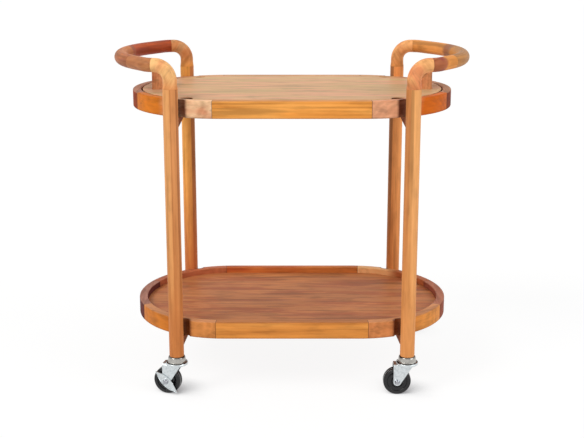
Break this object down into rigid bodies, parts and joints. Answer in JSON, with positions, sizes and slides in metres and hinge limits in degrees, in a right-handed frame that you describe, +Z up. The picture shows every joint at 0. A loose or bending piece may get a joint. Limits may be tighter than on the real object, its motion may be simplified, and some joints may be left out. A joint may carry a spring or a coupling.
{
  "type": "bar cart",
  "caption": "Two-tier wooden bar cart with racetrack tiers, round posts, a bent bar handle at each end, a lift-out top panel with grips, and swivel casters.",
  "frame": {"origin": "middle of the cart's footprint, on the floor that the wheels stand on", "axes": "+X along the cart to the right as the picture shows it, +Y from the front to the back, +Z up"},
  "size_m": [0.8374, 0.4608, 0.7887],
  "materials": {
    "rail": "satin oil on long-grain orange-brown hardwood",
    "corner": "satin oil, pale pinkish hardwood",
    "end_block": "satin oil, dark reddish hardwood",
    "panel": "satin oil, edge-glued pale tan boards",
    "floor": "satin oil, edge-glued reddish boards",
    "post": "satin oil, laminated turned post",
    "elbow": "satin oil, pale orange hardwood",
    "arm": "satin oil, orange-brown hardwood",
    "back_arm": "satin oil, dark red-brown hardwood",
    "grip": "satin oil, reddish-brown hardwood",
    "ledge": "unfinished hardwood strip",
    "corbel": "satin oil, dark hardwood",
    "dowel": "dry beech dowel",
    "zinc": "bright zinc plate",
    "bolt": "bright zinc plate",
    "insert": "turned brass",
    "ball": "polished bearing steel",
    "wheel": "matt black rubber tread"
  },
  "bodies": {
    "frame": {"post_front_left": "post", "post_front_right": "post", "post_back_left": "post", "post_back_right": "post", "elbow_front_left": "elbow", "elbow_front_right": "elbow", "elbow_back_left": "elbow", "elbow_back_right": "elbow", "handle_left_front_arm": "arm", "handle_left_bend": "arm", "handle_left_back_arm": "back_arm", "handle_right_front_arm": "arm", "handle_right_bend": "arm", "handle_right_back_arm": "back_arm", "top_rail_front": "rail", "top_rail_back": "rail", "top_end_left": "end_block", "top_end_right": "end_block", "top_corner_front_left": "corner", "top_corner_front_right": "corner", "top_corner_back_left": "corner", "top_corner_back_right": "corner", "lower_rail_front": "rail", "lower_rail_back": "rail", "lower_end_left": "end_block", "lower_end_right": "end_block", "lower_corner_front_left": "corner", "lower_corner_front_right": "corner", "lower_corner_back_left": "corner", "lower_corner_back_right": "corner", "lower_floor": "floor", "top_ledges": "ledge", "lower_ledges": "ledge", "top_corbels": "corbel", "lower_corbels": "corbel", "tier_bolts": "bolt", "threaded_inserts": "insert", "frame_dowels": "dowel", "rim_dowels": "dowel", "swivel_balls": "ball", "caster_front_left_stem": "zinc", "caster_front_right_stem": "zinc", "caster_back_left_stem": "zinc", "caster_back_right_stem": "zinc"},
    "top_panel": {"top_panel": "panel", "panel_grips": "grip"},
    "fork_front_left": {"caster_front_left_fork": "zinc", "caster_front_left_axle": "zinc"},
    "wheel_front_left": {"caster_front_left_wheel": "wheel"},
    "brake_front_left": {"brake_lever_front_left": "zinc"},
    "fork_front_right": {"caster_front_right_fork": "zinc", "caster_front_right_axle": "zinc"},
    "wheel_front_right": {"caster_front_right_wheel": "wheel"},
    "fork_back_left": {"caster_back_left_fork": "zinc", "caster_back_left_axle": "zinc"},
    "wheel_back_left": {"caster_back_left_wheel": "wheel"},
    "fork_back_right": {"caster_back_right_fork": "zinc", "caster_back_right_axle": "zinc"},
    "wheel_back_right": {"caster_back_right_wheel": "wheel"},
    "brake_back_right": {"brake_lever_back_right": "zinc"}
  },
  "joints": [
    {"name": "top_panel_lift", "type": "slide", "parent": "frame", "child": "top_panel", "axis": [0, 0, 1], "range_m": [0, 0.12]},
    {"name": "swivel_front_left", "type": "hinge", "parent": "frame", "child": "fork_front_left", "pos_m": [-0.26939, -0.20437, 0.075], "axis": [0, 0, 1], "continuous": true},
    {"name": "spin_front_left", "type": "hinge", "parent": "fork_front_left", "child": "wheel_front_left", "pos_m": [-0.29161, -0.19842, 0.0325], "axis": [0.2588, 0.9659, 0], "continuous": true},
    {"name": "brake_front_left", "type": "hinge", "parent": "fork_front_left", "child": "brake_front_left", "pos_m": [-0.29161, -0.19842, 0.0325], "axis": [-0.2588, -0.9659, 0], "range_deg": [0, 30]},
    {"name": "swivel_front_right", "type": "hinge", "parent": "frame", "child": "fork_front_right", "pos_m": [0.26939, -0.20437, 0.075], "axis": [0, 0, 1], "continuous": true},
    {"name": "spin_front_right", "type": "hinge", "parent": "fork_front_right", "child": "wheel_front_right", "pos_m": [0.24639, -0.20437, 0.0325], "axis": [0, 1, 0], "continuous": true},
    {"name": "swivel_back_left", "type": "hinge", "parent": "frame", "child": "fork_back_left", "pos_m": [-0.26939, 0.20437, 0.075], "axis": [0, 0, 1], "continuous": true},
    {"name": "spin_back_left", "type": "hinge", "parent": "fork_back_left", "child": "wheel_back_left", "pos_m": [-0.29239, 0.20437, 0.0325], "axis": [0, 1, 0], "continuous": true},
    {"name": "swivel_back_right", "type": "hinge", "parent": "frame", "child": "fork_back_right", "pos_m": [0.26939, 0.20437, 0.075], "axis": [0, 0, 1], "continuous": true},
    {"name": "spin_back_right", "type": "hinge", "parent": "fork_back_right", "child": "wheel_back_right", "pos_m": [0.29239, 0.20437, 0.0325], "axis": [0, 1, 0], "continuous": true},
    {"name": "brake_back_right", "type": "hinge", "parent": "fork_back_right", "child": "brake_back_right", "pos_m": [0.29239, 0.20437, 0.0325], "axis": [0, 1, 0], "range_deg": [0, 30]}
  ]
}
